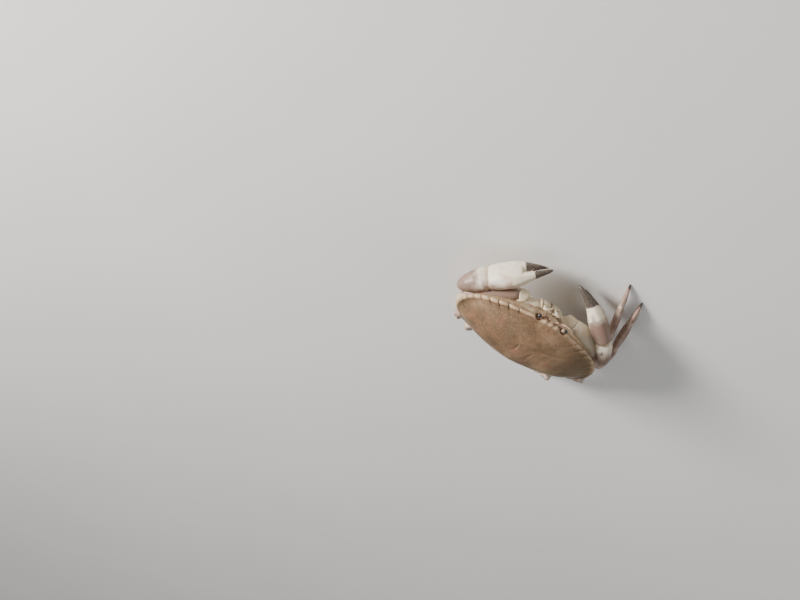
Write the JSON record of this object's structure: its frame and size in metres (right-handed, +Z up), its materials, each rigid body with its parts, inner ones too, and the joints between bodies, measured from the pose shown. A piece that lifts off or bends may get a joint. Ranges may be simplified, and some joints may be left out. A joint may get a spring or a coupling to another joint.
{
  "type": "brown crab, still life-size model",
  "caption": "Life-size still brown crab resting on its leg tips, broad oval pie-crust shell, both claws folded in front, for display as a museum model.",
  "frame": {"origin": "the middle of the bounding box in plan, on the floor that the leg tips stand on", "axes": "+Z up, the crab faces -Y, its left side is +X"},
  "size_m": [0.179, 0.1882, 0.0686],
  "materials": {
    "shell": "satin reddish brown, faintly granular",
    "underside": "satin cream",
    "claw": "satin cream with mauve patches",
    "claw_tip": "smooth dark brown",
    "leg": "satin mauve brown",
    "dactyl_tip": "satin dark brown",
    "eye": "glossy black",
    "feeler": "satin brown"
  },
  "bodies": {
    "root": {"abdomen": "underside", "carapace": "shell", "left_antenna": "feeler", "left_antennule": "feeler", "left_claw_arm": "claw", "left_claw_carpus": "claw", "left_claw_finger": "claw_tip", "left_eye": "eye", "left_leg1_carpus": "leg", "left_leg1_dactylus": "dactyl_tip", "left_leg1_merus": "leg", "left_leg1_propodus": "leg", "left_leg2_carpus": "leg", "left_leg2_dactylus": "dactyl_tip", "left_leg2_merus": "leg", "left_leg2_propodus": "leg", "left_leg3_carpus": "leg", "left_leg3_dactylus": "dactyl_tip", "left_leg3_merus": "leg", "left_leg3_propodus": "leg", "left_leg4_carpus": "leg", "left_leg4_dactylus": "dactyl_tip", "left_leg4_merus": "leg", "left_leg4_propodus": "leg", "left_maxilliped": "underside", "left_palm": "claw", "right_antenna": "feeler", "right_antennule": "feeler", "right_claw_arm": "claw", "right_claw_carpus": "claw", "right_claw_finger": "claw_tip", "right_eye": "eye", "right_leg1_carpus": "leg", "right_leg1_dactylus": "dactyl_tip", "right_leg1_merus": "leg", "right_leg1_propodus": "leg", "right_leg2_carpus": "leg", "right_leg2_dactylus": "dactyl_tip", "right_leg2_merus": "leg", "right_leg2_propodus": "leg", "right_leg3_carpus": "leg", "right_leg3_dactylus": "dactyl_tip", "right_leg3_merus": "leg", "right_leg3_propodus": "leg", "right_leg4_carpus": "leg", "right_leg4_dactylus": "dactyl_tip", "right_leg4_merus": "leg", "right_leg4_propodus": "leg", "right_maxilliped": "underside", "right_palm": "claw", "underbody": "underside"}
  },
  "joints": []
}
